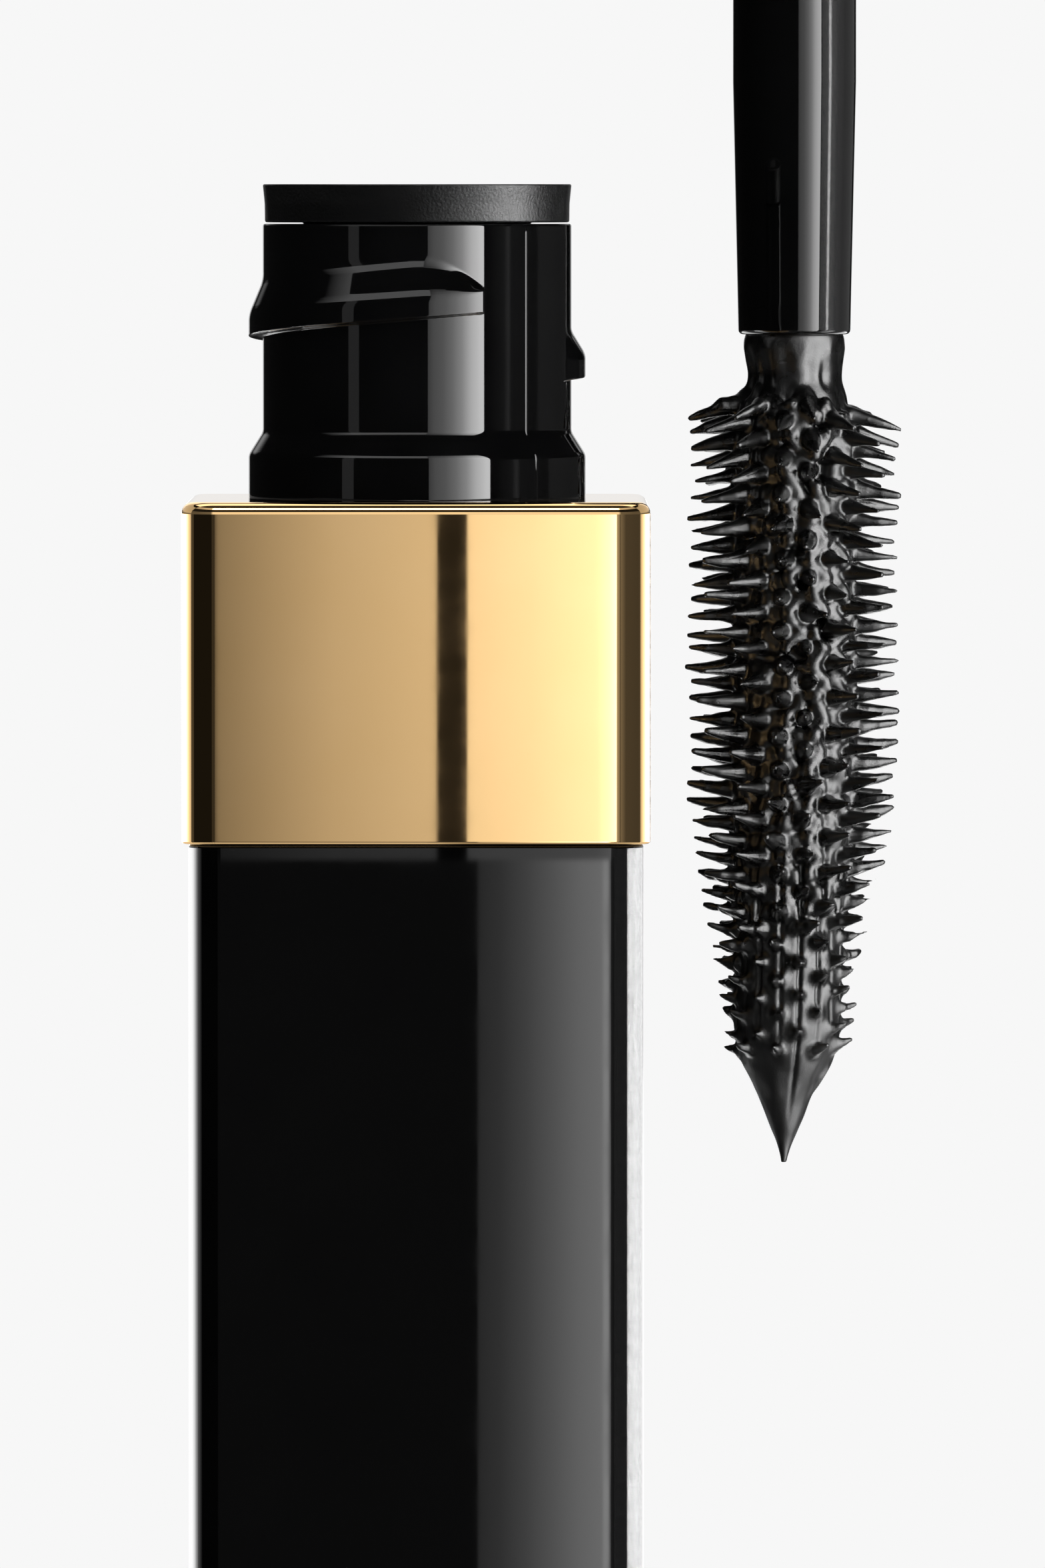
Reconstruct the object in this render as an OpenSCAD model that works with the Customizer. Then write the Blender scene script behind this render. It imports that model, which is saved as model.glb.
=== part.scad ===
// Mascara tube, open: a square outer tube with a metal collar and a threaded bottle neck,
// and beside it the capped applicator, whose moulded brush is loaded with product.
// Millimetres, Z up.  The tube stands on Z = 0 with its axis on Z.

/* [Tube] */
// Width across the flats of the outer tube and of the cap
tube_w = 16.5; // [16:0.1:18]
// Radius of the upright corners of the outer tube and of the cap
corner_r = 1.15; // [0.8:0.05:1.6]
// Height from the base to the top of the wiper
tube_h = 72; // [66:0.5:90]
// Wall of the outer tube and of the cap
tube_wall = 1.25; // [1.1:0.05:1.4]

/* [Collar] */
// Width across the flats of the metal collar
collar_w = 17; // [16.8:0.1:18.6]
// Height of the collar
collar_h = 12.4; // [8:0.1:16]
// Wall of the collar
collar_wall = 0.4; // [0.3:0.05:0.45]
// Thickness of the collar's top plate
collar_top = 0.6; // [0.4:0.05:0.8]

/* [Neck and thread] */
// Radius of the neck that the thread stands on
neck_r = 5.66; // [5.4:0.02:5.8]
// Radius of the wide ring at the neck's foot
ring_r = 6.18; // [6:0.02:6.3]
// Height of the neck and wiper above the collar
neck_h = 11.5; // [11:0.1:13]
// Radius of the neck's bore
bore_r = 4.2; // [4:0.05:4.4]
// How far the thread stands out of the neck
thread_depth = 0.52; // [0.4:0.02:0.6]
// Rise of the thread in one turn
thread_lead = 2.9; // [2.6:0.1:3.2]
// Length of the thread in degrees
thread_sweep = 315; // [270:5:340]

/* [Bottle and wiper] */
// Outer radius of the bottle's reservoir
bottle_r = 6.8; // [6.4:0.05:6.85]
// Wall of the reservoir
bottle_wall = 0.9; // [0.7:0.05:1.2]
// Height of the wiper's flange over the neck
wiper_flange_h = 1.4; // [1:0.05:1.8]
// Radius of the wiper's orifice
orifice_r = 2.1; // [2:0.05:2.3]

/* [Applicator] */
// Height of the cap
cap_h = 62; // [50:1:70]
// Length of the rod below the cap's seal
rod_reach = 29.5; // [28:0.1:32]
// Radius of the rod at its upper end
rod_r = 2.32; // [2.1:0.02:2.4]
// Radius of the rod at its lower end
rod_end_r = 2.11; // [1.9:0.01:2.2]

/* [Brush] */
// Length of the brush below the rod, with the product on its tip
brush_len = 31.4; // [28:0.1:32]
// Largest radius over the bristles
brush_r = 3.95; // [3.4:0.05:4]
// Radius of the brush's core
core_r = 1.63; // [1.4:0.01:1.7]
// Columns of bristles round the core
columns = 17; // [13:2:19]
// Step between two bristles of one column
bristle_pitch = 1.32; // [1.1:0.01:1.5]

/* [Placing] */
// Sideways distance from the tube's axis to the open applicator's axis
side_x = 14.1; // [13.5:0.1:18]
// Backward distance from the tube's axis to the open applicator's axis
back_y = 16; // [15:0.5:20]
// How much higher than closed the open applicator hangs
lift = 23.85; // [20:0.05:30]

/* [Hidden] */
$fn = 64;
FIT = 0.05;
RUN = 0.1;
ARC_STEPS = 6;
BLACK = "#101011";
SATIN = "#1c1c1d";
GOLD = "#c9a063";
STEEL = "#9a9da0";
WHITE = "#e8e8e6";

// Heights of the tube
collar_top_z = tube_h - neck_h;
collar_z = collar_top_z - collar_h;
neck_top_z = tube_h - wiper_flange_h - FIT;
ring_top_z = collar_top_z + 1.6;
rim_z = collar_top_z - 1.2;
shoulder_z = collar_top_z - 2.5;
// Widths that nest inside one another under the collar
cavity_w = tube_w - 2 * tube_wall;
sleeve_out_w = collar_w - 2 * collar_wall - 2 * FIT;
sleeve_wall = 0.35;
sleeve_in_w = sleeve_out_w - 2 * sleeve_wall;
recess_w = sleeve_in_w - 2 * FIT;
// Pieces in the foot of the outer tube
plug_h = 1.6;
label_r = 5.5;
label_h = 0.15;
weight_h = 5.8;
weight_z = plug_h + FIT;
cradle_z = weight_z + weight_h + FIT;
cradle_plate_h = 0.6;
cradle_h = 14;
bottle_z = cradle_z + cradle_plate_h + FIT;
bottle_floor = 1.1;
reservoir_r = bottle_r - bottle_wall;
// The wiper's plug in the neck's bore
wiper_plug_z = ring_top_z - 0.2;
wiper_cone_h = 3.4;
wiper_bore_r = bore_r - 0.85;
lip_h = 1.2;
// Thread section: heights of the ramp's foot, of the land and of its lower edge over the underside
THREAD_RAMP = 2.1;
THREAD_LAND = 1;
THREAD_EDGE = 0.15;
THREAD_ROOT = 0.3;
thread_start = -20;
thread_low_z = neck_top_z - 5.8;

// Heights of the open applicator
seal_z = tube_h + lift;
cap_z = seal_z - neck_h;
rod_end_z = seal_z - rod_reach;
tip_z = rod_end_z - brush_len;
liner_sweep = 120;
liner_r = cavity_w / 2 - FIT;
liner_bore_r = ring_r + 0.12;
seal_h = 0.8;
plate_z = seal_z + seal_h + RUN;
plate_h = 1.2;
socket_h = 7;
socket_r = 3.3;
rod_taper_h = 9.5;
stem_r = 1.45;
stem_h = 4.5;
coat_r = 2.05;
bristle_top_z = rod_end_z - 2.45;
bristle_bottom_z = tip_z + 4.55;
taper_z = tip_z + 13;
bristle_root_r = 0.32;
bristle_tip_r = 0.08;
bristle_end_r = 2.27;

// Points on an arc about [cx, cy]
function arc(cx, cy, r, from, to) =
    [for (i = [0 : ARC_STEPS])
        let (a = from + (to - from) * i / ARC_STEPS)
        [cx + r * cos(a), cy + r * sin(a)]];

// A square outline of width w with corners of radius r
module rounded_square(w, r) {
    c = w / 2 - r;
    polygon(concat(arc(c, c, r, 0, 90), arc(-c, c, r, 90, 180),
                   arc(-c, -c, r, 180, 270), arc(c, -c, r, 270, 360)));
}

// A square bar from z0 to z1
module bar(w, r, z0, z1) {
    translate([0, 0, z0])
        linear_extrude(z1 - z0)
            rounded_square(w, r);
}

module disc(r, z0, z1) {
    translate([0, 0, z0])
        cylinder(h = z1 - z0, r = r);
}

// Points round one end of a swept ridge: root, ramp, land and underside at turn angle a.
// side is 1 for a ridge that stands outward and -1 for one that stands inward.
// flip is 1 for a flat underside and -1 for a flat upper face.
function ridge_ring(a, r, z, depth, side, flip) =
    let (tip = r + side * depth, root = r - side * THREAD_ROOT)
    [for (p = [[root, z + flip * THREAD_RAMP], [tip, z + flip * THREAD_LAND],
               [tip, z + flip * THREAD_EDGE], [root, z]])
        [p[0] * cos(a), p[0] * sin(a), p[1]]];

// A single-start ridge swept up a right-hand helix, fading out over its last part
module ridge(r, z0, depth, from, sweep, side, flip) {
    steps = ceil(sweep / 9);
    fade = 60;
    rings = [for (i = [0 : steps])
        let (t = sweep * i / steps, left = sweep - t, k = min(1, 0.12 + 0.88 * left / fade))
        ridge_ring(from + t, r, z0 + thread_lead * t / 360, depth * k, side, flip)];
    n = len(rings[0]);
    sides = [for (i = [0 : steps - 1], j = [0 : n - 1])
        [i * n + j, i * n + (j + 1) % n, (i + 1) * n + (j + 1) % n, (i + 1) * n + j]];
    ends = [[for (j = [n - 1 : -1 : 0]) j], [for (j = [0 : n - 1]) steps * n + j]];
    faces = concat(sides, ends);
    turned = [for (f = faces) [for (j = [len(f) - 1 : -1 : 0]) f[j]]];
    polyhedron([for (ring = rings) for (p = ring) p], side * flip > 0 ? turned : faces, 6);
}

// Square black tube, open at both ends, stepped in under the collar
module outer_tube() {
    color(BLACK)
    difference() {
        union() {
            bar(tube_w, corner_r, 0, collar_z);
            bar(recess_w, corner_r - 0.3, collar_z - 1, rim_z);
        }
        bar(cavity_w, 0.5, -1, rim_z + 1);
    }
}

// Plate that closes the foot of the tube, with a shallow seat for the label
module base_plug() {
    color(BLACK)
    difference() {
        bar(cavity_w - 2 * FIT, 0.5, 0, plug_h);
        disc(label_r + FIT, -1, label_h);
    }
}

// Blank round label, flush with the foot
module base_label() {
    color(WHITE)
    disc(label_r, 0, label_h);
}

// Steel slug that makes the tube stand firmly
module base_weight() {
    color(STEEL)
    bar(cavity_w - 0.4, 0.6, weight_z, weight_z + weight_h);
}

// Four corner posts on a plate, which centre the round bottle in the square tube
module bottle_cradle() {
    color(WHITE)
    difference() {
        bar(cavity_w - 2 * FIT, 0.5, cradle_z, cradle_z + cradle_h);
        disc(cavity_w / 2 + 0.1, cradle_z + cradle_plate_h, cradle_z + cradle_h + 1);
    }
}

// Blown bottle: reservoir, shoulder flange and threaded neck in one piece
module inner_bottle() {
    neck_edge = 0.25;
    flare = ring_r - neck_r;
    color(BLACK)
    union() {
        rotate_extrude()
            polygon([[0, bottle_z], [bottle_r - 0.5, bottle_z], [bottle_r, bottle_z + 0.5],
                     [bottle_r, rim_z - 0.8], [ring_r, rim_z - 0.8], [ring_r, ring_top_z],
                     [neck_r, ring_top_z + 1.6 * flare], [neck_r, neck_top_z - neck_edge],
                     [neck_r - neck_edge, neck_top_z], [bore_r, neck_top_z],
                     [bore_r, shoulder_z + 1.2], [reservoir_r, shoulder_z],
                     [reservoir_r, bottle_z + bottle_floor + 0.4],
                     [reservoir_r - 0.4, bottle_z + bottle_floor], [0, bottle_z + bottle_floor]]);
        difference() {
            bar(sleeve_out_w - 0.1, corner_r - 0.3, rim_z, rim_z + 0.55);
            disc((ring_r + bore_r) / 2, rim_z - 1, rim_z + 1);
        }
        ridge(neck_r, thread_low_z, thread_depth, thread_start, thread_sweep, 1, 1);
    }
}

// Polished metal collar with a top plate that the neck stands through
module collar() {
    color(GOLD)
    difference() {
        bar(collar_w, corner_r + 0.05, collar_z, collar_top_z);
        bar(collar_w - 2 * collar_wall, corner_r - 0.3, collar_z - 1, collar_top_z - collar_top);
        disc(ring_r + 0.08, collar_z, collar_top_z + 1);
    }
}

// Plastic sleeve that carries the collar on the outer tube
module collar_sleeve() {
    color(WHITE)
    difference() {
        bar(sleeve_out_w, corner_r - 0.3, collar_z + 0.1, rim_z - 0.05);
        bar(sleeve_in_w, corner_r - 0.5, collar_z - 1, rim_z + 1);
    }
}

// Wiper: a satin flange on the neck, a plug in its bore, and a cone down to the orifice
module wiper() {
    flange_z = neck_top_z + FIT;
    plug_r = bore_r - FIT;
    lip_z = wiper_plug_z - wiper_cone_h;
    color(SATIN)
    rotate_extrude()
        polygon([[wiper_bore_r + 0.4, tube_h], [neck_r - 0.03, tube_h],
                 [neck_r - 0.08, tube_h - 0.5 * wiper_flange_h], [neck_r - 0.01, flange_z + 0.2],
                 [neck_r - 0.25, flange_z], [plug_r, flange_z], [plug_r, wiper_plug_z],
                 [orifice_r + 0.5, lip_z], [orifice_r, lip_z], [orifice_r, lip_z + lip_h],
                 [wiper_bore_r, wiper_plug_z + 0.6], [wiper_bore_r, tube_h - 0.5]]);
}

// Places a piece on the open applicator's axis
module on_applicator() {
    translate([side_x, back_y, 0])
        children();
}

// Loose seal in the head of the liner: the neck's rim presses it when the tube is closed
module seal_washer() {
    color(WHITE)
    on_applicator()
    difference() {
        disc(neck_r + 0.3, seal_z, seal_z + seal_h);
        disc(rod_r + 1, seal_z - 1, seal_z + seal_h + 1);
    }
}

// Square cap, closed at the top
module cap_shell() {
    color(BLACK)
    on_applicator()
    difference() {
        bar(tube_w, corner_r, cap_z, cap_z + cap_h);
        bar(cavity_w, 0.5, cap_z - 1, cap_z + cap_h - 1.5);
    }
}

// Square block that centres the liner's socket in the cap
module cap_spacer() {
    z0 = plate_z + plate_h + FIT;
    color(WHITE)
    on_applicator()
    difference() {
        bar(cavity_w - 2 * FIT, 0.5, z0, z0 + socket_h + 2);
        disc(socket_r + FIT, z0 - 1, z0 + socket_h + 3);
    }
}

// Round threaded liner: it screws on the neck and holds the rod in its socket
module cap_liner() {
    bead_z = seal_z - 0.5;
    color(BLACK)
    on_applicator()
    union() {
        rotate_extrude()
            polygon([[liner_bore_r, cap_z + 0.4], [liner_r, cap_z + 0.4],
                     [liner_r, plate_z + plate_h], [socket_r, plate_z + plate_h],
                     [socket_r, plate_z + plate_h + socket_h], [rod_r + FIT, plate_z + plate_h + socket_h],
                     [rod_r + FIT, plate_z], [liner_bore_r, plate_z],
                     [liner_bore_r, bead_z + 0.4], [neck_r + 0.12, bead_z + 0.2],
                     [liner_bore_r, bead_z]]);
        ridge(liner_bore_r, cap_z + 5.6, thread_depth - 0.06, 165, liner_sweep, -1, -1);
    }
}

// Rod: pressed into the liner's socket, tapering towards the brush
module rod() {
    top_z = plate_z + plate_h + socket_h - 0.6;
    color(BLACK)
    on_applicator()
    rotate_extrude()
        polygon([[0, top_z], [rod_r - 0.3, top_z], [rod_r, top_z - 0.3], [rod_r, plate_z],
                 [rod_r + 0.65, plate_z], [rod_r + 0.65, plate_z - 0.5], [rod_r, plate_z - 0.8],
                 [rod_r, rod_end_z + rod_taper_h], [rod_end_r, rod_end_z + 0.2],
                 [rod_end_r - 0.2, rod_end_z], [stem_r + FIT, rod_end_z],
                 [stem_r + FIT, rod_end_z + stem_h + 0.3], [0, rod_end_z + stem_h + 0.3]]);
}

// Core of the moulded brush, with the stem that is pressed into the rod
module brush_core() {
    color(BLACK)
    on_applicator()
    rotate_extrude()
        polygon([[0, rod_end_z + stem_h], [stem_r, rod_end_z + stem_h], [stem_r, rod_end_z],
                 [core_r, rod_end_z - 0.3], [core_r, taper_z], [core_r * 0.7, bristle_bottom_z],
                 [0.35, tip_z + 1.2], [0, tip_z + 1]]);
}

// Radius of the core and of the bristles' envelope at height z
function core_at(z) =
    z > taper_z ? core_r
    : core_r * (1 - 0.3 * (taper_z - z) / (taper_z - bristle_bottom_z));
function envelope_at(z) =
    let (t = max(0, (taper_z - z) / (taper_z - bristle_bottom_z)),
         top = min(1, 0.86 + 0.07 * (bristle_top_z - z)))
    (brush_r - (brush_r - bristle_end_r) * pow(t, 1.15)) * top;

// Conical bristles in columns, each column shifted up by almost half a step from the last, so that
// the shifts close up round the core
module bristles() {
    rows = floor((bristle_top_z - bristle_bottom_z) / bristle_pitch);
    shift = floor(columns / 2) / columns;
    color(BLACK)
    on_applicator()
    for (c = [0 : columns - 1], i = [0 : rows - 1]) {
        z = bristle_top_z - (i + (c * shift) % 1) * bristle_pitch;
        root = core_at(z) - 0.15;
        translate([0, 0, z])
            rotate([0, 90, 180 + 360 * c / columns])
                translate([0, 0, root])
                    cylinder(h = envelope_at(z) - root, r1 = bristle_root_r, r2 = bristle_tip_r, $fn = 16);
    }
}

// Wet product: a coat round the core between the bristles, drawn out to a point at the tip
module product_coat() {
    color(SATIN)
    on_applicator()
    rotate_extrude()
        polygon([[core_r + 0.02, rod_end_z - 0.5], [coat_r - 0.2, rod_end_z - 0.5],
                 [core_r + 0.1, bristle_top_z + 0.4], [coat_r, bristle_top_z - 0.8],
                 [coat_r, bristle_bottom_z], [1.2, tip_z + 2.2], [0.12, tip_z], [0, tip_z],
                 [0, tip_z + 0.98], [0.37, tip_z + 1.18], [core_r * 0.7 + 0.02, bristle_bottom_z],
                 [core_r + 0.02, taper_z]]);
}

outer_tube();
base_plug();
base_label();
base_weight();
bottle_cradle();
inner_bottle();
collar();
collar_sleeve();
wiper();
seal_washer();
cap_shell();
cap_spacer();
cap_liner();
rod();
brush_core();
bristles();
product_coat();
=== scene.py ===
"""Looks of the open mascara tube and its applicator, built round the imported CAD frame.

Everything is worked out in millimetres and turned into metres when a mesh is made.
"""

import math

import bpy
import numpy as np
import openvdb
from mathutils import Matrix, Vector


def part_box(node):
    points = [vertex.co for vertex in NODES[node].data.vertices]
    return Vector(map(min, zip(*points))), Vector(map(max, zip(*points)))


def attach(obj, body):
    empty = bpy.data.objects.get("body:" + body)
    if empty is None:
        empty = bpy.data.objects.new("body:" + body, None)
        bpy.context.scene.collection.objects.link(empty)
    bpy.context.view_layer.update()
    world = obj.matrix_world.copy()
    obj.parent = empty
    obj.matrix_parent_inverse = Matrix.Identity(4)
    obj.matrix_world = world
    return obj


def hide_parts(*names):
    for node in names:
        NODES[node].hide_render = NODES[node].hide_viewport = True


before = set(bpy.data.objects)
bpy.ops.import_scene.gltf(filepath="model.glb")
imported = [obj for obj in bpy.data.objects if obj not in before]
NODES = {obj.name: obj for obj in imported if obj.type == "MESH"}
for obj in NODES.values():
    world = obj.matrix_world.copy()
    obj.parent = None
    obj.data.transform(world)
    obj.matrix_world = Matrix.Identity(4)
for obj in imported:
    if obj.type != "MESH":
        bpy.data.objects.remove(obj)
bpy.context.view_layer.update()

MM = 0.001


def box_mm(node):
    """Lowest and highest corner of a CAD node, in millimetres."""
    lo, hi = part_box(node)
    return np.array(lo) / MM, np.array(hi) / MM


TUBE_LO, TUBE_HI = box_mm("outer_tube")
COLLAR_LO, COLLAR_HI = box_mm("collar")
CAP_LO, CAP_HI = box_mm("cap_shell")
ROD_LO, ROD_HI = box_mm("rod")
PLUG_LO, PLUG_HI = box_mm("base_plug")
BOTTLE_TOP = box_mm("inner_bottle")[1][2]
WIPER_TOP = box_mm("wiper")[1][2]
COAT_FOOT = box_mm("product_coat")[0][2]

TUBE_AXIS = (TUBE_LO + TUBE_HI) / 2 * (1, 1, 0)
WAND_AXIS = (CAP_LO + CAP_HI) / 2 * (1, 1, 0)


# ---------------------------------------------------------------- mesh helpers


def make_piece(name, points, faces, body, material, replaced=()):
    """A smooth-shaded mesh object from points in millimetres, riding on a CAD body."""
    mesh = bpy.data.meshes.new(name)
    mesh.from_pydata((np.asarray(points) * MM).tolist(), [], faces)
    mesh.validate()
    mesh.shade_smooth()
    piece = bpy.data.objects.new(name, mesh)
    bpy.context.scene.collection.objects.link(piece)
    mesh.materials.append(material)
    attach(piece, body)
    if replaced:
        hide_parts(*replaced)
    return piece


def skin(rings, closed=False):
    """Quads through a stack of rings; unless it is closed, each end is fanned to a middle point."""
    rings = np.asarray(rings, dtype=float)
    count, size, _ = rings.shape
    points = rings.reshape(-1, 3)
    here = np.arange(count * size).reshape(count, size)
    above = np.roll(here, -1, axis=0)
    if not closed:
        here, above = here[:-1], above[:-1]
    faces = np.stack(
        [here, np.roll(here, -1, axis=1), np.roll(above, -1, axis=1), above], axis=-1
    ).reshape(-1, 4).tolist()
    if closed:
        return points, faces
    last = (count - 1) * size
    ends = np.array([rings[0].mean(axis=0), rings[-1].mean(axis=0)])
    points = np.vstack([points, ends])
    low, high = count * size, count * size + 1
    for k in range(size):
        after = (k + 1) % size
        faces.append([low, after, k])
        faces.append([high, last + k, last + after])
    return points, faces


def rounded(path, closed=False, steps=7):
    """The path (size, z, fillet) with each corner turned into an arc of its fillet radius.

    A corner in a straight line has to have a fillet of 0, or its points are not numbers.
    """
    path = [np.array(p, dtype=float) for p in path]
    out = []
    for k, corner in enumerate(path):
        fillet = corner[2]
        is_end = not closed and k in (0, len(path) - 1)
        if fillet <= 0 or is_end:
            out.append(corner[:2])
            continue
        here = corner[:2]
        back = path[k - 1][:2] - here
        ahead = path[(k + 1) % len(path)][:2] - here
        back_length, ahead_length = np.linalg.norm(back), np.linalg.norm(ahead)
        back, ahead = back / back_length, ahead / ahead_length
        half = math.acos(max(-1.0, min(1.0, float(back @ ahead)))) / 2
        reach = min(fillet / math.tan(half), 0.49 * back_length, 0.49 * ahead_length)
        radius = reach * math.tan(half)
        middle = here + (back + ahead) / np.linalg.norm(back + ahead) * radius / math.sin(half)
        start, end = here + back * reach - middle, here + ahead * reach - middle
        turn = math.atan2(start[0] * end[1] - start[1] * end[0], float(start @ end))
        for s in range(steps + 1):
            a = turn * s / steps
            out.append(middle + np.array([
                start[0] * math.cos(a) - start[1] * math.sin(a),
                start[0] * math.sin(a) + start[1] * math.cos(a),
            ]))
    return supported(np.array(out), closed)


def supported(path, closed, near=0.02, long=0.15):
    """Adds points close to both ends of every long stretch, so that it shades flat."""
    out = []
    for k, here in enumerate(path):
        out.append(here)
        if k == len(path) - 1 and not closed:
            break
        ahead = path[(k + 1) % len(path)]
        length = np.linalg.norm(ahead - here)
        if length > long:
            out.append(here + (ahead - here) * near / length)
            out.append(ahead + (here - ahead) * near / length)
    return np.array(out)


def square_ring(half, corner, z, steps=14, support=0.03):
    """A rounded square with points close to each fillet, so its flat sides shade flat."""
    corner = max(corner, 0.02)
    inner = half - corner
    ring = []
    for quarter in range(4):
        turn = quarter * math.pi / 2
        for s in range(steps + 1):
            a = math.pi / 2 * s / steps
            ring.append((inner + corner * math.cos(a), inner + corner * math.sin(a), turn))
        ring.append((inner - support, half, turn))
        ring.append((-inner + support, half, turn))
    return [
        (x * math.cos(t) - y * math.sin(t), x * math.sin(t) + y * math.cos(t), z)
        for x, y, t in ring
    ]


def square_lathe(path, corner, axis, closed):
    """Sweeps a (half width, z) path round a rounded square, keeping the corners parallel."""
    outermost = max(p[0] for p in path)
    rings = [square_ring(h, corner - (outermost - h), z) for h, z in path]
    points, faces = skin(rings, closed)
    return points + axis, faces


def lathe(path, axis, closed=False, around=256):
    """Sweeps a (radius, z) path round a circle."""
    a = np.linspace(0, 2 * np.pi, around, endpoint=False)
    path = np.asarray(path)
    r, z = path[:, :1], path[:, 1:2]
    rings = np.stack([r * np.cos(a), r * np.sin(a), z + 0 * a], axis=-1)
    points, faces = skin(rings, closed)
    return points + axis, faces


# ---------------------------------------------------------------- materials


EVEN = (1, 1, 1)


def noise_node(nodes, links, scale, detail=3.0, stretch=EVEN):
    """Object-space noise with features of about 1/scale metres."""
    coords = nodes.new("ShaderNodeTexCoord")
    mapping = nodes.new("ShaderNodeMapping")
    mapping.inputs["Scale"].default_value = stretch
    noise = nodes.new("ShaderNodeTexNoise")
    noise.inputs["Scale"].default_value = scale
    noise.inputs["Detail"].default_value = detail
    links.new(coords.outputs["Object"], mapping.inputs["Vector"])
    links.new(mapping.outputs["Vector"], noise.inputs["Vector"])
    return noise.outputs["Fac"]


def spread(nodes, links, value, lo, hi, start=0.3, end=0.7):
    """Maps a noise value onto lo to hi."""
    ranged = nodes.new("ShaderNodeMapRange")
    ranged.inputs["From Min"].default_value = start
    ranged.inputs["From Max"].default_value = end
    ranged.inputs["To Min"].default_value = lo
    ranged.inputs["To Max"].default_value = hi
    links.new(value, ranged.inputs["Value"])
    return ranged.outputs["Result"]


def make_material(name, dark, light, rough, colour_scale, rough_scale, bumps, **sockets):
    """Principled material whose colour, roughness and bump all vary by noise.

    bumps is a list of (scale, depth in metres, stretch); sockets are constant Principled inputs.
    """
    material = bpy.data.materials.new(name)
    material.use_nodes = True
    nodes, links = material.node_tree.nodes, material.node_tree.links
    shader = nodes["Principled BSDF"]
    tint = nodes.new("ShaderNodeMix")
    tint.data_type = "RGBA"
    tint.inputs["A"].default_value = (*dark, 1)
    tint.inputs["B"].default_value = (*light, 1)
    shade = spread(nodes, links, noise_node(nodes, links, colour_scale, 4), 0, 1)
    links.new(shade, tint.inputs["Factor"])
    links.new(tint.outputs["Result"], shader.inputs["Base Color"])
    varied = spread(nodes, links, noise_node(nodes, links, rough_scale), *rough)
    links.new(varied, shader.inputs["Roughness"])
    normal = None
    for scale, depth, bump_stretch in bumps:
        bump = nodes.new("ShaderNodeBump")
        bump.inputs["Strength"].default_value = 1
        bump.inputs["Distance"].default_value = depth
        links.new(noise_node(nodes, links, scale, 2, bump_stretch), bump.inputs["Height"])
        if normal is not None:
            links.new(normal, bump.inputs["Normal"])
        normal = bump.outputs["Normal"]
    if normal is not None:
        links.new(normal, shader.inputs["Normal"])
    for socket, value in sockets.items():
        shader.inputs[socket.replace("_", " ")].default_value = value
    return material


GLOSS = make_material(
    "black_gloss", (0.001, 0.001, 0.0011), (0.0018, 0.0018, 0.0019), (0.008, 0.018),
    300, 500, [(900, 1.2e-8, EVEN)], IOR=1.5,
)
NECK = make_material(
    "black_neck", (0.0013, 0.0013, 0.0014), (0.0023, 0.0023, 0.0024), (0.018, 0.035),
    400, 900, [(1500, 5e-8, EVEN)], IOR=1.5,
)
GOLD = make_material(
    "gold_metal", (0.94, 0.615, 0.28), (0.96, 0.635, 0.3), (0.01, 0.016),
    250, 900, [(2500, 2e-8, (1, 1, 0.03))], Metallic=1.0,
)
SATIN = make_material(
    "wiper_satin", (0.004, 0.004, 0.0042), (0.007, 0.007, 0.0073), (0.3, 0.38),
    900, 2500, [(9500, 1.6e-5, EVEN)], IOR=1.5,
)
INNER = make_material(
    "inner_plastic", (0.02, 0.02, 0.021), (0.03, 0.03, 0.031), (0.35, 0.5),
    500, 1200, [(5000, 2e-6, EVEN)], IOR=1.5,
)
FOAM = make_material(
    "seal_foam", (0.62, 0.61, 0.58), (0.72, 0.71, 0.68), (0.6, 0.8),
    1500, 2500, [(7000, 1.2e-5, EVEN)], IOR=1.45,
)
STEEL = make_material(
    "steel", (0.45, 0.46, 0.47), (0.58, 0.59, 0.6), (0.25, 0.42),
    600, 1500, [(3500, 1.5e-6, (1, 0.1, 1))], Metallic=1.0,
)
PAPER = make_material(
    "label_paper", (0.016, 0.016, 0.016), (0.026, 0.026, 0.026), (0.5, 0.62),
    2500, 3000, [(9000, 3e-6, EVEN)], IOR=1.45,
)
BRUSH = make_material(
    "brush_plastic", (0.004, 0.004, 0.004), (0.008, 0.008, 0.008), (0.35, 0.5),
    1200, 2500, [(9000, 4e-6, EVEN)], IOR=1.5,
)
WET = make_material(
    "wet_product", (0.0008, 0.0008, 0.0008), (0.0018, 0.0018, 0.0018), (0.22, 0.36),
    900, 1100, [(13000, 6e-6, EVEN), (3000, 6e-6, EVEN)], IOR=1.5,
)


def roughen_below(material, top, bottom, extra):
    """Adds to the roughness of a material below a height, in metres."""
    nodes, links = material.node_tree.nodes, material.node_tree.links
    socket = nodes["Principled BSDF"].inputs["Roughness"]
    coords = nodes.new("ShaderNodeTexCoord")
    split = nodes.new("ShaderNodeSeparateXYZ")
    links.new(coords.outputs["Object"], split.inputs[0])
    lower = spread(nodes, links, split.outputs[2], extra, 0, bottom, top)
    total = nodes.new("ShaderNodeMath")
    links.new(socket.links[0].from_socket, total.inputs[0])
    links.new(lower, total.inputs[1])
    links.new(total.outputs[0], socket)


CARRIED = {
    "base_label": PAPER,
    "base_weight": STEEL,
    "bottle_cradle": INNER,
    "collar_sleeve": INNER,
    "cap_spacer": INNER,
    "cap_liner": NECK,
    "seal_washer": FOAM,
}
for node, material in CARRIED.items():
    NODES[node].data.materials.clear()
    NODES[node].data.materials.append(material)


# ---------------------------------------------------------------- square shells

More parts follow.
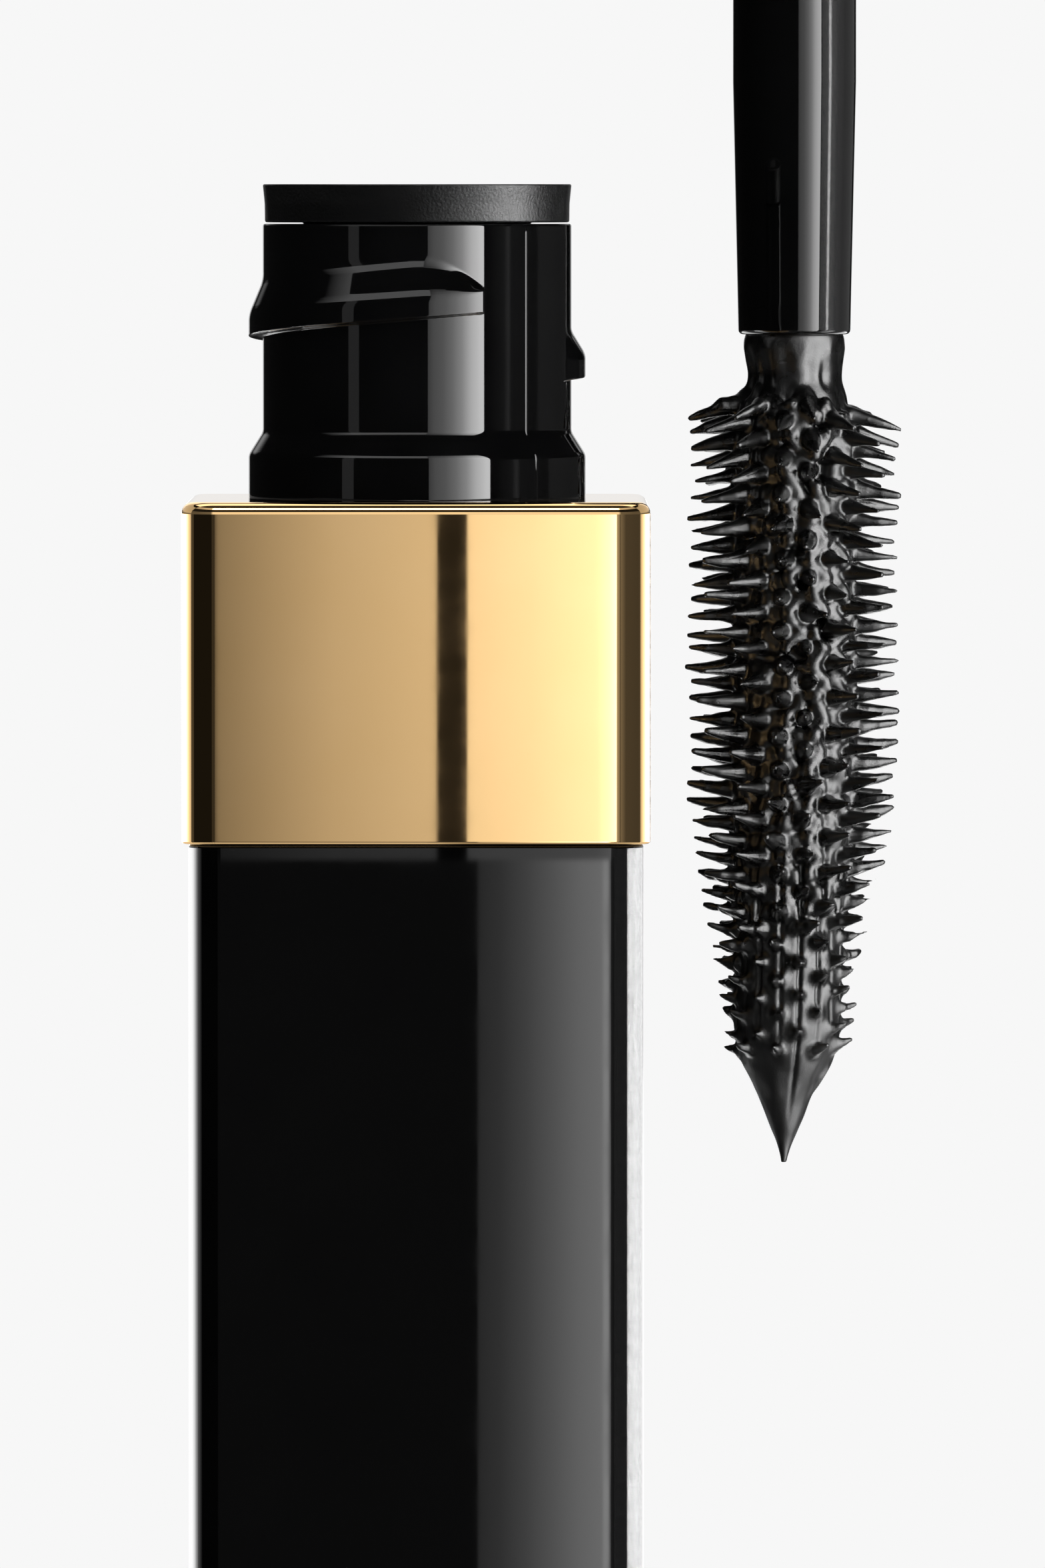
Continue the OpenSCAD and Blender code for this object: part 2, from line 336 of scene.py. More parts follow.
TUBE_CORNER = 1.15
COLLAR_CORNER = 1.2
tube_half = (TUBE_HI - TUBE_LO)[0] / 2
collar_half = (COLLAR_HI - COLLAR_LO)[0] / 2
collar_bottom, collar_top = COLLAR_LO[2], COLLAR_HI[2]
inset_half = 7.65
cavity_half = 7.0

tube_path = rounded([
    (tube_half, TUBE_LO[2], 0.35), (tube_half, collar_bottom, 0.12),
    (inset_half, collar_bottom, 0.05), (inset_half, TUBE_HI[2], 0.1),
    (cavity_half, TUBE_HI[2], 0.1), (cavity_half, TUBE_LO[2], 0.2),
], closed=True)
points, faces = square_lathe(tube_path, TUBE_CORNER, TUBE_AXIS, closed=True)
make_piece("tube_shell", points, faces, "tube", GLOSS, ["outer_tube"])

collar_inside = collar_half - 0.4
collar_ledge = collar_top - 0.6
collar_hole = 6.4
hole_radius = 6.28
collar_path = rounded([
    (collar_half, collar_bottom, 0.1), (collar_half, collar_top, 0.42),
    (collar_hole, collar_top, 0.08), (collar_hole, collar_ledge, 0.08),
    (collar_inside, collar_ledge, 0.1), (collar_inside, collar_bottom, 0.1),
], closed=True)


def round_ring(radius, z, steps=14):
    """A circle with the same point order as square_ring."""
    square = np.array(square_ring(1.0, 0.2, 0.0, steps))
    square[:, :2] *= radius / np.linalg.norm(square[:, :2], axis=1)[:, None]
    square[:, 2] = z
    return square


def collar_rings():
    """The collar's sides are square and the edge of its hole is round."""
    rings = []
    for half, z in collar_path:
        if half < collar_half - 1.5:
            rings.append(round_ring(half - collar_hole + hole_radius, z))
        else:
            rings.append(np.array(square_ring(half, COLLAR_CORNER - (collar_half - half), z)))
    return rings


points, faces = skin(collar_rings(), closed=True)
make_piece("collar_shell", points + TUBE_AXIS, faces, "tube", GOLD, ["collar"])

cap_half = (CAP_HI - CAP_LO)[0] / 2
cap_inside = cap_half - 1.3
cap_inner_top = CAP_HI[2] - 1.5
near_axis = 0.4
cap_path = rounded([
    (near_axis, cap_inner_top, 0), (cap_inside, cap_inner_top, 0.3),
    (cap_inside, CAP_LO[2], 0.1), (cap_half, CAP_LO[2], 0.12),
    (cap_half, CAP_HI[2], 0.35), (near_axis, CAP_HI[2], 0),
])
points, faces = square_lathe(cap_path, TUBE_CORNER, WAND_AXIS, closed=False)
make_piece("cap_outer", points, faces, "applicator", GLOSS, ["cap_shell"])

plug_half = (PLUG_HI - PLUG_LO)[0] / 2
recess_top = PLUG_LO[2] + 0.15
plug_path = rounded([
    (4.0, recess_top, 0), (5.75, recess_top, 0.05), (5.85, PLUG_LO[2], 0.05),
    (plug_half, PLUG_LO[2], 0.25), (plug_half, PLUG_HI[2], 0.1), (4.0, PLUG_HI[2], 0),
])


def plug_rings():
    """The foot plug: square outside, with a round recess for the label."""
    rings = []
    for size, z in plug_path:
        if size < 6.0:
            rings.append(round_ring(size, z))
        else:
            rings.append(np.array(square_ring(size, 0.9 - (plug_half - size), z)))
    return rings


points, faces = skin(plug_rings())
make_piece("foot_plug", points + TUBE_AXIS, faces, "tube", NECK, ["base_plug"])


# ---------------------------------------------------------------- bottle with its threaded neck

NECK_RADIUS = 5.66
BASE_RING_RADIUS = 6.18
BOTTLE_RADIUS = 6.8
BORE_RADIUS = 4.2
INSIDE_RADIUS = 5.9
FLANGE_RADIUS = 7.6
BOTTLE_FOOT = 8.15
BOTTLE_FLOOR = 9.25
SHOULDER = 59.0
FLANGE_TOP = 59.85
BASE_RING_TOP = 62.1
THREAD_FROM, THREAD_TO = 63.6, 70.25
THREAD_START = math.radians(-20)
THREAD_SWEEP = math.radians(315)
THREAD_LEAD = 2.9
THREAD_LOW = 64.75
THREAD_DEPTH = 0.52
THREAD_LAND = 0.86
RUN_IN = math.radians(12)
PARTING = math.radians(315)
PARTING_WIDTH = math.radians(0.42)
PARTING_HEIGHT = 0.03
RUN_OUT = math.radians(27)
SHORT_RAMP, LONG_RAMP = 0.8, 1.25
RAMP_GROWS_TO = math.radians(200)


def smooth(x):
    """0 below 0, 1 above 1, eased between."""
    x = np.clip(x, 0, 1)
    return x * x * (3 - 2 * x)


def soft_clip(x, reach):
    """Clips to 0..1 with its two corners rounded over the reach."""
    return sum(np.clip(x + k * reach / 2, 0, 1) for k in (-2, -1, 0, 1, 2)) / 5


def thread_height(angle, z):
    """How far the thread stands out of the neck at each angle and height."""
    height = np.zeros(np.broadcast(angle, z).shape)
    for turn in (0, 1):
        travel = (angle - THREAD_START) % (2 * np.pi) + turn * 2 * np.pi
        low = THREAD_LOW + THREAD_LEAD * travel / (2 * np.pi)
        rel = z - low
        ending = np.clip((travel - (THREAD_SWEEP - RUN_OUT)) / RUN_OUT, 0, 1)
        ramp = SHORT_RAMP + (LONG_RAMP - SHORT_RAMP) * np.clip(travel / RAMP_GROWS_TO, 0, 1)
        ramp = 0.07 + (ramp - 0.07) * (1 - ending ** 2)
        rise = smooth(rel / 0.07)
        fall = soft_clip((THREAD_LAND + ramp - rel) / ramp, 0.17)
        inside = smooth(travel / RUN_IN) * smooth((THREAD_SWEEP - travel) / math.radians(1.3))
        height = np.maximum(height, THREAD_DEPTH * rise * fall * inside)
    return height


def neck_rings(around=640):
    """Outside of the bottle from its shoulder up, down the bore, and round the floor."""
    even = np.linspace(0, 2 * np.pi, around, endpoint=False)
    a = np.sort(np.concatenate([even, PARTING + np.radians(np.arange(-1.6, 1.6, 0.11))]))
    foot = rounded([
        (0.3, BOTTLE_FOOT, 0), (BOTTLE_RADIUS, BOTTLE_FOOT, 0.6),
        (BOTTLE_RADIUS, SHOULDER - 1.0, 0.8), (BOTTLE_RADIUS - 0.5, SHOULDER, 0.2),
        (BOTTLE_RADIUS - 0.5, SHOULDER + 0.3, 0.1), (FLANGE_RADIUS, SHOULDER + 0.3, 0.1),
        (FLANGE_RADIUS, FLANGE_TOP, 0.1), (BASE_RING_RADIUS, FLANGE_TOP, 0.05),
        (BASE_RING_RADIUS, BASE_RING_TOP, 0.45), (NECK_RADIUS, BASE_RING_TOP + 0.83, 0.45),
        (NECK_RADIUS, THREAD_FROM, 0),
    ])
    threaded = [(NECK_RADIUS, z) for z in np.arange(THREAD_FROM + 0.05, THREAD_TO - 0.05, 0.026)]
    top = rounded([
        (NECK_RADIUS, THREAD_TO, 0), (NECK_RADIUS, BOTTLE_TOP, 0.08), (BORE_RADIUS, BOTTLE_TOP, 0.15),
        (BORE_RADIUS, SHOULDER + 0.2, 0.2), (INSIDE_RADIUS, SHOULDER - 0.8, 0.5),
        (INSIDE_RADIUS, BOTTLE_FLOOR, 0.8), (0.3, BOTTLE_FLOOR, 0),
    ])
    path = np.vstack([foot, threaded, top])
    r, z = path[:, :1], path[:, 1:2]
    radius = r + 0 * a
    on_neck = (z[:, 0] > 63) & (z[:, 0] < 70.3) & (r[:, 0] > 5)
    height = thread_height(a[None, :], z)
    radius[on_neck] += height[on_neck]
    parting = np.exp(-(((a - PARTING + math.pi) % (2 * math.pi) - math.pi) / PARTING_WIDTH) ** 2)
    shows = smooth((z - 60) / 0.5) * smooth((70.5 - z) / 0.3) * (r > 5)
    radius += PARTING_HEIGHT * parting[None, :] * shows * (height < 0.01)
    return np.stack([radius * np.cos(a), radius * np.sin(a), z + 0 * a], axis=-1)


points, faces = skin(neck_rings())
make_piece("bottle", points + TUBE_AXIS, faces, "tube", NECK, ["inner_bottle"])

lip_radius = 2.1
wiper_radius = 4.15
wiper_bore = 3.35
flange_foot = 70.6
# Known fault: the first corner is in a straight line and yet has a fillet, so its points are
# not numbers, and validate() puts them at the origin. Hidden faces run from the lip down to
# there. A fillet of 0 at that corner would mend it.
wiper_path = rounded([
    (lip_radius, 59.2, 0.12), (lip_radius, 58.5, 0.12), (2.9, 58.5, 0.3),
    (wiper_radius, 60.6, 0.4), (wiper_radius, flange_foot, 0.1),
    (5.58, flange_foot, 0.08), (5.59, flange_foot + 0.7, 2.0), (5.66, WIPER_TOP, 0.06),
    (wiper_bore + 0.4, WIPER_TOP, 0.15), (wiper_bore, WIPER_TOP - 0.5, 0.2),
    (wiper_bore, 62.0, 0.6), (lip_radius, 59.7, 0.1),
], closed=True)
points, faces = lathe(wiper_path, TUBE_AXIS, closed=True, around=320)
make_piece("wiper_ring", points, faces, "tube", SATIN, ["wiper"])


# ---------------------------------------------------------------- applicator rod

rod_end = ROD_LO[2]
rod_radius = 2.32
rod_tip_radius = 2.11
rod_taper = 9.5
brush_socket_radius = 1.47
brush_socket_top = rod_end + 4.5
barb_radius = rod_radius + 0.62
barb_top = ROD_HI[2] - 8.0
rod_path = rounded([
    (0.2, brush_socket_top, 0), (brush_socket_radius, brush_socket_top, 0.1),
    (brush_socket_radius, rod_end + 0.05, 0.05), (1.7, rod_end, 0.05),
    (rod_tip_radius, rod_end, 0.19), (rod_tip_radius + 0.02, rod_end + 1.0, 0),
    (rod_radius, rod_end + rod_taper, 3.0), (rod_radius, barb_top - 1.0, 0.2),
    (barb_radius, barb_top - 0.4, 0.1), (barb_radius, barb_top, 0.1),
    (rod_radius, barb_top + 0.05, 0.03), (rod_radius, ROD_HI[2], 0.3), (0.2, ROD_HI[2], 0),
])
points, faces = lathe(rod_path, WAND_AXIS, around=256)
make_piece("wand_rod", points, faces, "applicator", NECK, ["rod"])


# ---------------------------------------------------------------- brush

VOXEL = 0.066
BAND = 3 * VOXEL
BRUSH_HALF = 4.3
HEADROOM = 0.6
BLEND = 0.16
WALL_BLEND = 0.22
COLUMNS = 17
COLUMN_GAP = 2 * math.pi / COLUMNS
PITCH = 1.25
FIRST_DEPTH = 2.3
NOMINAL_LENGTH = 29.8
brush_scale = (rod_end - COAT_FOOT) / NOMINAL_LENGTH
rng = np.random.default_rng(11)


class Field:
    """A signed distance field round the brush: x right, y back, z down from the rod's end."""

    def __init__(self, length):
        side = int(2 * BRUSH_HALF / VOXEL)
        self.shape = (side, side, int(length / VOXEL))
        self.x = (np.arange(side) + 0.5) * VOXEL - BRUSH_HALF
        self.z = (np.arange(self.shape[2]) + 0.5) * VOXEL - HEADROOM
        self.value = np.full(self.shape, 9.0, dtype=np.float32)

    def window(self, lo, hi):
        """Slices and coordinates of the cells between two corners."""
        cut, axes = [], []
        for axis, coords in enumerate((self.x, self.x, self.z)):
            first = int(np.clip(np.searchsorted(coords, lo[axis]), 0, len(coords)))
            last = int(np.clip(np.searchsorted(coords, hi[axis]), 0, len(coords)))
            cut.append(slice(first, last))
            axes.append(coords[first:last])
        x, y, z = np.meshgrid(*axes, indexing="ij", sparse=True)
        return tuple(cut), x, y, z

    def merge(self, cut, distance, blend):
        """Smooth union of a new distance with the field."""
        here = self.value[cut]
        mixed = np.clip(0.5 + 0.5 * (distance - here) / blend, 0, 1)
        self.value[cut] = distance * (1 - mixed) + here * mixed - blend * mixed * (1 - mixed)

    def add_chain(self, points, radii, blend=BLEND):
        """Round cones through a chain of points."""
        points = np.asarray(points, dtype=float)
        margin = max(radii) + blend + 0.15
        cut, x, y, z = self.window(points.min(axis=0) - margin, points.max(axis=0) + margin)
        if min(s.stop - s.start for s in cut) <= 0:
            return
        nearest = None
        for a, b, ra, rb in zip(points[:-1], points[1:], radii[:-1], radii[1:]):
            along = b - a
            px, py, pz = x - a[0], y - a[1], z - a[2]
            t = np.clip((px * along[0] + py * along[1] + pz * along[2]) / (along @ along), 0, 1)
            gap = np.sqrt((px - t * along[0]) ** 2 + (py - t * along[1]) ** 2 + (pz - t * along[2]) ** 2)
            distance = gap - (ra + (rb - ra) * t)
            nearest = distance if nearest is None else np.minimum(nearest, distance)
        self.merge(cut, nearest.astype(np.float32), blend)


def value_noise(shape, cell, seed):
    """Smooth random values in -1 to 1 with features the size of a number of cells."""
    lattice_rng = np.random.default_rng(seed)
    size = [int(n / c) + 3 for n, c in zip(shape, cell)]
    noise = lattice_rng.uniform(-1, 1, size).astype(np.float32)
    for axis, (n, c) in enumerate(zip(shape, cell)):
        place = np.arange(n) / c
        low = place.astype(int)
        part = (place - low).astype(np.float32)
        part = part * part * (3 - 2 * part)
        part = part.reshape([-1 if k == axis else 1 for k in range(3)])
        noise = np.take(noise, low, axis=axis) * (1 - part) + np.take(noise, low + 1, axis=axis) * part
    return noise


# (depth, radius) down the core, with the product on it
CORE_PROFILE = np.array([
    (-0.6, 1.3), (0.0, 1.80), (0.35, 1.78), (0.9, 1.68), (1.4, 1.58), (1.75, 1.60), (2.1, 1.78),
    (2.6, 1.9), (3.4, 1.92), (14.0, 1.93), (20.0, 1.93), (24.6, 1.92), (25.3, 1.84), (25.8, 1.66),
    (26.5, 1.34), (27.3, 0.95), (28.2, 0.6), (28.9, 0.3), (29.3, 0.16), (29.65, 0.09),
])
TIP_DEPTH = 29.62
# (depth, radius) that the bristles' tips reach
ENVELOPE = np.array([
    (1.8, 3.8), (16.5, 3.82), (18.5, 3.55), (20.5, 3.15), (22.0, 2.78), (23.5, 2.52), (25.5, 2.3),
    (29.0, 2.1),
])
LAST_ROW = 25.7
STREAK_DEPTHS = [0, 0.5, 2.2, 3.0, 24.0, 25.5, 27.0, 28.0]
STREAK_LEVELS = [0.2, 2.0, 2.0, 0.35, 0.35, 1.0, 0.6, 0.1]
BRISTLE_STEPS = (0.0, 0.22, 0.48, 0.74, 1.0)
BRISTLE_RADII = np.array([0.46, 0.37, 0.26, 0.175, 0.085])
DROOP_DEPTHS = [2, 5, 9, 14, 20, 26]
DROOPS = [0.55, 0.3, 0.08, -0.06, -0.2, -0.15]

PROFILE_DEPTHS = np.linspace(CORE_PROFILE[0, 0], CORE_PROFILE[-1, 0], 1513)


def eased_profile(window=21):
    """The core's radius at every profile depth, with its corners rounded off."""
    radii = np.interp(PROFILE_DEPTHS, CORE_PROFILE[:, 0], CORE_PROFILE[:, 1])
    for _ in range(2):
        padded = np.pad(radii, window // 2, mode="edge")
        radii = np.convolve(padded, np.full(window, 1 / window), mode="valid")
    return radii


PROFILE_RADII = eased_profile()


def core_radius(depth):
    """Radius of the core, with its product, at a depth."""
    return np.interp(depth, PROFILE_DEPTHS, PROFILE_RADII)


def lean(depth):
    """The brush bows a little to the left towards its tip."""
    return -0.36 * np.clip(np.asarray(depth) / TIP_DEPTH, 0, 1) ** 2


def bristle_chain(angle, depth):
    """Middle line and radii of one coated bristle."""
    reach = np.interp(depth, ENVELOPE[:, 0], ENVELOPE[:, 1]) * rng.uniform(0.95, 1.0)
    root = core_radius(depth) - 0.35
    length = max(reach - root, 0.25)
    droop = np.interp(depth, DROOP_DEPTHS, DROOPS)
    droop = droop * length / 2.1 + rng.normal(0, 0.06)
    sweep = rng.normal(0, 0.05) + 0.1 * math.cos(angle)
    points = []
    for s in BRISTLE_STEPS:
        r = root + length * s
        a = angle + sweep * s * s
        sag = droop * (s ** 1.7) + 0.05 * math.sin(3 * s)
        points.append((r * math.cos(a) + float(lean(depth)), r * math.sin(a), depth + sag))
    short = np.clip((length - 0.3) / 1.7, 0.0, 1.0)
    thick = rng.uniform(0.85, 1.18) * (0.86 + 0.14 * short)
    return points, list(BRISTLE_RADII * thick)


def column_rows():
    """Angle and depth of every bristle, by column."""
    columns = []
    for c in range(COLUMNS):
        angle = -math.pi / 2 + 2 * math.pi * (c + 0.5) / COLUMNS
        shift = (c * 8 / COLUMNS) % 1
        rows = []
        depth = FIRST_DEPTH + shift * PITCH
        while depth < LAST_ROW:
            rows.append((angle + rng.normal(0, 0.02), depth + rng.normal(0, 0.05)))
            depth += PITCH
        columns.append(rows)
    return columns


def on_core(angle, depth, lift):
    """The point that stands this far off the core."""
    r = core_radius(depth) + lift
    return (r * math.cos(angle) + float(lean(depth)), r * math.sin(angle), depth)


def wall_lift(angle):
    """The walls stand highest a little to the right of the front."""
    turn = (angle + math.pi / 2 - 0.4 + math.pi) % (2 * math.pi) - math.pi
    return 0.1 + 0.36 * math.exp(-((turn / 0.5) ** 2))


def add_wall(field, rows, following):
    """A wall of product that winds down between two staggered columns, clear of each root."""
    stops = sorted([(d, a, 0) for a, d in rows] + [(d, a, 1) for a, d in following])
    near = stops[0][1]
    winding = []
    for d, a, side in stops:
        a = near + (a - near + math.pi) % (2 * math.pi) - math.pi
        away = COLUMN_GAP * rng.uniform(0.66, 0.8)
        lift = wall_lift(a) * rng.uniform(0.6, 1.25)
        winding.append((d, a + (away if side == 0 else -away), lift))
    for (d0, a0, lift0), (d1, a1, lift1) in zip(winding[:-1], winding[1:]):
        low = np.interp(d1, [16, 19.5, 20.8], [1, 0.35, 0])
        if low <= 0 or rng.random() < 0.06:
            continue
        chain = []
        for s in (0, 0.2, 0.4, 0.6, 0.8, 1):
            eased = s * s * (3 - 2 * s)
            lift = (lift0 + (lift1 - lift0) * eased) * low
            chain.append(on_core(a0 + (a1 - a0) * eased, d0 + 0.1 + (d1 - d0) * s, lift))
        width = rng.uniform(0.8, 1.35) * (0.75 + 0.6 * wall_lift(a0))
        field.add_chain(chain, [0.24 * width, 0.23, 0.2 * width, 0.19 * width, 0.22, 0.23], WALL_BLEND)


CREASE_DEPTH, CREASE_WIDTH = 0.1, 0.08


def add_creases(field, columns):
    """Thin grooves that join the small nubs near the tip, one down each column."""
    cut, x, y, z = field.window((-9, -9, 17), (9, 9, 28.5))
    depth = field.z[cut[2]]
    around = np.arctan2(y, x - lean(depth)[None, None, :])
    radius = np.maximum(core_radius(depth), 0.5)[None, None, :]
    for c, rows in enumerate(columns):
        last = 28.3 if c % 6 == 0 else 25.8
        fade = np.interp(depth, [17.5, 20, last - 2, last], [0, 1, 1, 0])[None, None, :]
        shift = rng.uniform(-0.03, 0.03)
        gap = (around - rows[0][0] - shift + math.pi) % (2 * math.pi) - math.pi
        groove = CREASE_DEPTH * (0.5 if c % 3 == 2 else 1) * fade
        field.value[cut] += groove * np.exp(-((gap * radius / CREASE_WIDTH) ** 2))


def brush_field():
    """The whole brush: core, bristles, walls, creases, then the unevenness of the product."""
    field = Field(TIP_DEPTH + 1.3)
    cut, x, y, z = field.window((-9, -9, -9), (9, 9, 40))
    depth = field.z
    core = core_radius(depth)[None, None, :]
    slope = np.gradient(core_radius(depth), VOXEL)[None, None, :]
    offset = lean(depth)[None, None, :]
    radial = np.sqrt((x - offset) ** 2 + y ** 2)
    distance = (radial - core) / np.sqrt(1 + slope ** 2)
    field.value[cut] = np.maximum(distance, z - TIP_DEPTH).astype(np.float32)
    columns = column_rows()
    for rows in columns:
        for angle, d in rows:
            field.add_chain(*bristle_chain(angle, d))
    for c, rows in enumerate(columns):
        add_wall(field, rows, columns[(c + 1) % COLUMNS])
    add_creases(field, columns)
    coarse = value_noise(field.shape, (12, 12, 14), 3)
    fine = value_noise(field.shape, (5, 5, 6), 4)
    streaks = value_noise(field.shape, (6, 6, 34), 5)
    at_neck = np.interp(depth, STREAK_DEPTHS, STREAK_LEVELS)[None, None, :]
    calm = np.interp(depth, [-0.1, 0.5], [0, 1])[None, None, :]
    field.value += calm * (0.045 * coarse + 0.012 * fine + 0.07 * at_neck * streaks)
    return field


def polygonise(field):
    """Turns the field into points and quads, in millimetres in the CAD frame."""
    grid = openvdb.FloatGrid(BAND)
    grid.copyFromArray(np.clip(field.value, -BAND, BAND))
    points, _, quads = grid.convertToPolygons(isovalue=0.0, adaptivity=0.0)
    x = ((points[:, 0] + 0.5) * VOXEL - BRUSH_HALF) * brush_scale + WAND_AXIS[0]
    y = ((points[:, 1] + 0.5) * VOXEL - BRUSH_HALF) * brush_scale + WAND_AXIS[1]
    z = rod_end + (HEADROOM - (points[:, 2] + 0.5) * VOXEL) * brush_scale
    return np.stack([x, y, z], axis=1), quads


points, quads = polygonise(brush_field())
make_piece(
    "coated_brush", points, quads.tolist(), "applicator", WET,
    ["bristles", "product_coat"],
)
satin_from, satin_to = 21, 25
roughen_below(
    WET, (rod_end - satin_from * brush_scale) * MM, (rod_end - satin_to * brush_scale) * MM, 0.12
)

core_top = rod_end + 4.4
stem_radius = 1.42
core_path = rounded([
    (0.15, core_top, 0), (stem_radius, core_top, 0.1), (stem_radius, rod_end - 0.4, 0.3),
    (1.2, rod_end - 2.0, 0.5), (1.3, rod_end - 3.4, 0.5), (1.3, rod_end - 23.5, 2.0),
    (0.5, rod_end - 28.0, 0.6), (0.15, rod_end - 28.8, 0),
])
points, faces = lathe(core_path, WAND_AXIS, around=96)
points[:, 0] += lean((rod_end - points[:, 2]) / brush_scale)
make_piece("core_moulding", points, faces, "applicator", BRUSH, ["brush_core"])


# ---------------------------------------------------------------- stage and light

CAMERA_OFFSET = 3.863
CAMERA_HEIGHT = 72.0
CAMERA_DISTANCE = 600.0
CAMERA_PITCH = math.radians(2.1)
LENS = 375.6

camera_data = bpy.data.cameras.new("camera")
camera_data.sensor_width = 36
camera_data.lens = LENS
camera_data.clip_start = 0.02
camera_data.clip_end = 20
camera = bpy.data.objects.new("camera", camera_data)
camera.location = Vector((CAMERA_OFFSET, -CAMERA_DISTANCE, CAMERA_HEIGHT)) * MM
camera.rotation_euler = (math.pi / 2 - CAMERA_PITCH, 0, 0)
bpy.context.scene.collection.objects.link(camera)
bpy.context.scene.camera = camera
bpy.context.scene.view_settings.view_transform = "Standard"


class Graph:
    """Short-hand for shader arithmetic."""

    def __init__(self, tree):
        self.nodes, self.links = tree.nodes, tree.links

    def put(self, socket, value):
        """Links a socket, or sets it where the value is a number."""
        if hasattr(value, "links"):
            self.links.new(value, socket)
        else:
            socket.default_value = value

    def math(self, operation, *values):
        """One Math node."""
        node = self.nodes.new("ShaderNodeMath")
        node.operation = operation
        for socket, value in zip(node.inputs, values):
            self.put(socket, value)
        return node.outputs[0]

    def gate(self, value, start, end):
        """0 before start, 1 after end; start may be above end."""
        node = self.nodes.new("ShaderNodeMapRange")
        node.interpolation_type = "SMOOTHSTEP"
        self.put(node.inputs["Value"], value)
        node.inputs["From Min"].default_value = start
        node.inputs["From Max"].default_value = end
        return node.outputs["Result"]

    def between(self, value, a, b, soft):
        """1 from a to b, 0 outside, with soft edges."""
        rise = self.gate(value, a - soft, a + soft)
        fall = self.gate(value, b + soft, b - soft)
        return self.math("MULTIPLY", rise, fall)

    def table(self, value, stops):
        """Looks a value up in (place, level) stops: exact, and linear between them."""
        level = stops[0][1]
        for (start, before), (end, after) in zip(stops[:-1], stops[1:]):
            if before == after:
                continue
            node = self.nodes.new("ShaderNodeMapRange")
            self.put(node.inputs["Value"], value)
            node.inputs["From Min"].default_value = start
            node.inputs["From Max"].default_value = end
            node.inputs["To Max"].default_value = after - before
            level = self.math("ADD", node.outputs["Result"], level)
        return level

    def total(self, *values):
        """The sum of the values."""
        out = values[0]
        for value in values[1:]:
            out = self.math("ADD", out, value)
        return out


def azimuth_of(graph, x, y):
    """Degrees round the vertical axis: 0 towards the viewer, positive to the right."""
    turn = graph.math("ARCTAN2", x, graph.math("MULTIPLY", y, -1.0))
    return graph.math("MULTIPLY", turn, 180 / math.pi)


BACKDROP = 0.93


def build_world():
    """A dim studio with a pale backdrop that only the camera sees."""
    world = bpy.data.worlds.new("studio")
    bpy.context.scene.world = world
    world.use_nodes = True
    graph = Graph(world.node_tree)
    nodes, links = graph.nodes, graph.links
    nodes.clear()
    coords = nodes.new("ShaderNodeTexCoord")
    split = nodes.new("ShaderNodeSeparateXYZ")
    links.new(coords.outputs["Generated"], split.inputs[0])
    x, y, z = split.outputs
    elevation = graph.math("MULTIPLY", graph.math("ARCSINE", z), 180 / math.pi)
    aside = graph.math("ABSOLUTE", azimuth_of(graph, x, y))
    wall = graph.math("MULTIPLY", graph.between(elevation, 9, 45, 3), 0.7)
    wall = graph.math("MULTIPLY", graph.gate(aside, 148, 160), wall)
    horizon = graph.math("MULTIPLY", graph.between(elevation, -3, 6, 1), 0.9)
    horizon = graph.math("MULTIPLY", graph.gate(aside, 164, 170), horizon)
    below = graph.math("MULTIPLY", graph.gate(elevation, -7, -14), 0.1)
    ambient = 0.012
    level = graph.total(wall, horizon, below, ambient)
    path = nodes.new("ShaderNodeLightPath")
    seen = nodes.new("ShaderNodeBackground")
    seen.inputs["Color"].default_value = (BACKDROP, BACKDROP, BACKDROP, 1)
    lit = nodes.new("ShaderNodeBackground")
    links.new(level, lit.inputs["Strength"])
    mix = nodes.new("ShaderNodeMixShader")
    links.new(path.outputs["Is Camera Ray"], mix.inputs[0])
    links.new(lit.outputs[0], mix.inputs[1])
    links.new(seen.outputs[0], mix.inputs[2])
    out = nodes.new("ShaderNodeOutputWorld")
    links.new(mix.outputs[0], out.inputs["Surface"])


build_world()


def link_light(lamp, receivers):
    """Lets a lamp or a lit card light these objects and no others."""
    group = bpy.data.collections.new(lamp.name + "_receivers")
    for name in receivers:
        group.objects.link(bpy.data.objects[name])
    lamp.light_linking.receiver_collection = group


def lit_card(name, points, faces, paint, receivers):
    """A lit studio card with its brightness painted over it.

    The camera sees through it, and so does every piece that isn't one of its receivers.
    """
    mesh = bpy.data.meshes.new(name)
    mesh.from_pydata([tuple(c * MM for c in p) for p in points], [], faces)
    card = bpy.data.objects.new(name, mesh)
    bpy.context.scene.collection.objects.link(card)
    material = bpy.data.materials.new(name)
    material.use_nodes = True
    material.cycles.emission_sampling = "NONE"
    graph = Graph(material.node_tree)
    nodes, links = graph.nodes, graph.links
    nodes.clear()
    coords = nodes.new("ShaderNodeTexCoord")
    split = nodes.new("ShaderNodeSeparateXYZ")
    links.new(coords.outputs["Object"], split.inputs[0])
    place = [graph.math("MULTIPLY", axis, 1 / MM) for axis in split.outputs]
    glow = nodes.new("ShaderNodeEmission")
    links.new(paint(graph, *place), glow.inputs["Strength"])
    clear = nodes.new("ShaderNodeBsdfTransparent")
    both = nodes.new("ShaderNodeAddShader")
    links.new(glow.outputs[0], both.inputs[0])
    links.new(clear.outputs[0], both.inputs[1])
    out = nodes.new("ShaderNodeOutputMaterial")
    links.new(both.outputs[0], out.inputs["Surface"])
    mesh.materials.append(material)
    card.visible_camera = False
    card.visible_shadow = False
    link_light(card, receivers)
    return card


CARD_GAP = 2.0
FAR_CARD = 500.0
NEAR_CARD = 300.0
card_count = iter(range(100))


